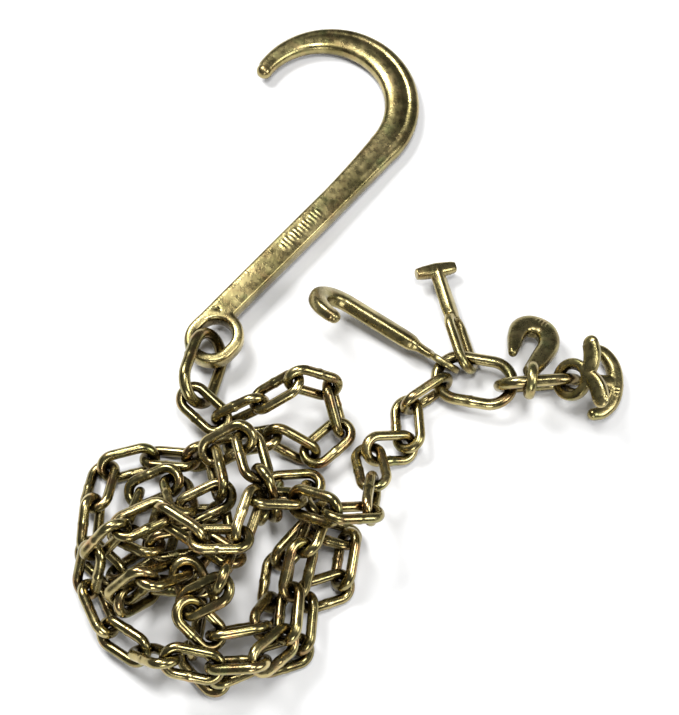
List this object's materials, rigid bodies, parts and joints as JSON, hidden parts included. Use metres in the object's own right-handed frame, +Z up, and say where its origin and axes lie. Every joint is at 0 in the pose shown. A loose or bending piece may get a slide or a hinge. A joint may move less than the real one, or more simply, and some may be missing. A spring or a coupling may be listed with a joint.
{
  "type": "tow chain assembly",
  "caption": "Plated steel tow chain piled in a heap, with a large J hook on an oval ring at one end and a cluster of small hooks at the other.",
  "frame": {"origin": "centre of the bounding box at floor level", "axes": "+Z up from the floor; +Y runs from the heap of chain towards the J hook's bend; +X towards the T hook"},
  "size_m": [0.504, 0.678, 0.0919],
  "materials": {
    "yellow_zinc_steel": "yellow zinc plating, iridescent"
  },
  "bodies": {
    "heap": {"heap_links_01": "yellow_zinc_steel", "heap_links_02": "yellow_zinc_steel", "heap_links_03": "yellow_zinc_steel", "heap_links_04": "yellow_zinc_steel", "heap_links_05": "yellow_zinc_steel", "heap_links_06": "yellow_zinc_steel", "heap_links_07": "yellow_zinc_steel", "heap_links_08": "yellow_zinc_steel", "heap_links_09": "yellow_zinc_steel", "heap_links_10": "yellow_zinc_steel", "heap_links_11": "yellow_zinc_steel", "heap_links_12": "yellow_zinc_steel", "heap_links_13": "yellow_zinc_steel", "heap_links_14": "yellow_zinc_steel", "heap_links_15": "yellow_zinc_steel", "heap_links_16": "yellow_zinc_steel", "heap_links_17": "yellow_zinc_steel", "heap_links_18": "yellow_zinc_steel", "heap_links_19": "yellow_zinc_steel", "heap_links_20": "yellow_zinc_steel", "heap_links_21": "yellow_zinc_steel", "heap_links_22": "yellow_zinc_steel", "heap_links_23": "yellow_zinc_steel", "heap_links_24": "yellow_zinc_steel", "heap_links_25": "yellow_zinc_steel", "heap_links_26": "yellow_zinc_steel", "heap_links_27": "yellow_zinc_steel", "heap_links_28": "yellow_zinc_steel", "heap_links_29": "yellow_zinc_steel", "heap_links_30": "yellow_zinc_steel", "heap_links_31": "yellow_zinc_steel", "heap_links_32": "yellow_zinc_steel", "heap_links_33": "yellow_zinc_steel", "heap_links_34": "yellow_zinc_steel", "heap_links_35": "yellow_zinc_steel", "heap_links_36": "yellow_zinc_steel"},
    "connecting_ring": {"connecting_ring": "yellow_zinc_steel"},
    "master_link": {"master_link": "yellow_zinc_steel"},
    "coupling_link": {"coupling_link": "yellow_zinc_steel"},
    "run_link_1": {"run_link_1": "yellow_zinc_steel"},
    "run_link_2": {"run_link_2": "yellow_zinc_steel"},
    "run_link_3": {"run_link_3": "yellow_zinc_steel"},
    "run_link_4": {"run_link_4": "yellow_zinc_steel"},
    "run_link_5": {"run_link_5": "yellow_zinc_steel"},
    "j_hook": {"j_hook": "yellow_zinc_steel"},
    "mini_j_hook": {"mini_j_hook": "yellow_zinc_steel"},
    "hammerhead_hook": {"hammerhead_hook": "yellow_zinc_steel"},
    "grab_hook": {"grab_hook": "yellow_zinc_steel"},
    "r_hook": {"r_hook": "yellow_zinc_steel"},
    "t_hook": {"t_hook": "yellow_zinc_steel"}
  },
  "joints": [
    {"name": "ring_swing", "type": "hinge", "parent": "heap", "child": "connecting_ring", "pos_m": [-0.15147, -0.06718, 0.04], "axis": [0.3831, -0.615, -0.6892], "range_deg": [-12, 5]},
    {"name": "j_hook_swing", "type": "hinge", "parent": "connecting_ring", "child": "j_hook", "pos_m": [-0.1307, -0.00557, 0.02163], "axis": [0.022, 0.0248, 0.9995], "range_deg": [-20, 6]},
    {"name": "run_link_1_swing", "type": "hinge", "parent": "heap", "child": "run_link_1", "pos_m": [0.02068, -0.18617, 0.06106], "axis": [-0.4214, 0.6425, -0.64], "range_deg": [0, 32]},
    {"name": "run_link_2_swing", "type": "hinge", "parent": "run_link_1", "child": "run_link_2", "pos_m": [0.01818, -0.14927, 0.03579], "axis": [-0.2047, 0.5436, 0.814], "range_deg": [-30, 24]},
    {"name": "run_link_3_swing", "type": "hinge", "parent": "run_link_2", "child": "run_link_3", "pos_m": [0.01114, -0.11307, 0.02045], "axis": [-0.9647, -0.2366, -0.1159], "range_deg": [-20, 0]},
    {"name": "run_link_4_swing", "type": "hinge", "parent": "run_link_3", "child": "run_link_4", "pos_m": [0.05509, -0.10833, 0.00826], "axis": [0.0271, 0.895, 0.4452], "range_deg": [-20, 0]},
    {"name": "run_link_5_swing", "type": "hinge", "parent": "run_link_4", "child": "run_link_5", "pos_m": [0.04841, -0.06309, 0.01116], "axis": [-0.8795, -0.1001, -0.4653], "range_deg": [-15, 12]},
    {"name": "master_link_swing", "type": "hinge", "parent": "run_link_5", "child": "master_link", "pos_m": [0.08791, -0.0446, 0.01693], "axis": [-0.0996, 0.1422, 0.9848], "range_deg": [-15, 22]},
    {"name": "mini_j_hook_swing", "type": "hinge", "parent": "master_link", "child": "mini_j_hook", "pos_m": [0.08492, -0.02668, 0.01631], "axis": [0.7612, 0.6471, 0.0427], "range_deg": [-6, 15]},
    {"name": "hammerhead_hook_swing", "type": "hinge", "parent": "master_link", "child": "hammerhead_hook", "pos_m": [0.11204, -0.0239, 0.01813], "axis": [0.9758, -0.2074, 0.0698], "range_deg": [-40, 4]},
    {"name": "coupling_link_swing", "type": "hinge", "parent": "master_link", "child": "coupling_link", "pos_m": [0.14709, -0.05334, 0.02095], "axis": [0.2079, 0.9781, 0], "range_deg": [-11, 40]},
    {"name": "grab_hook_swing", "type": "hinge", "parent": "coupling_link", "child": "grab_hook", "pos_m": [0.16139, -0.05792, 0.04707], "axis": [0.9976, 0.0698, 0], "range_deg": [0, 45]},
    {"name": "r_hook_swing", "type": "hinge", "parent": "coupling_link", "child": "r_hook", "pos_m": [0.19878, -0.05383, 0.04156], "axis": [-0.7209, -0.2264, 0.6551], "range_deg": [-26, 10]},
    {"name": "t_hook_swing", "type": "hinge", "parent": "coupling_link", "child": "t_hook", "pos_m": [0.20435, -0.04771, 0.02023], "axis": [-0.3089, 0.2265, -0.9237], "range_deg": [-22, 30]}
  ]
}
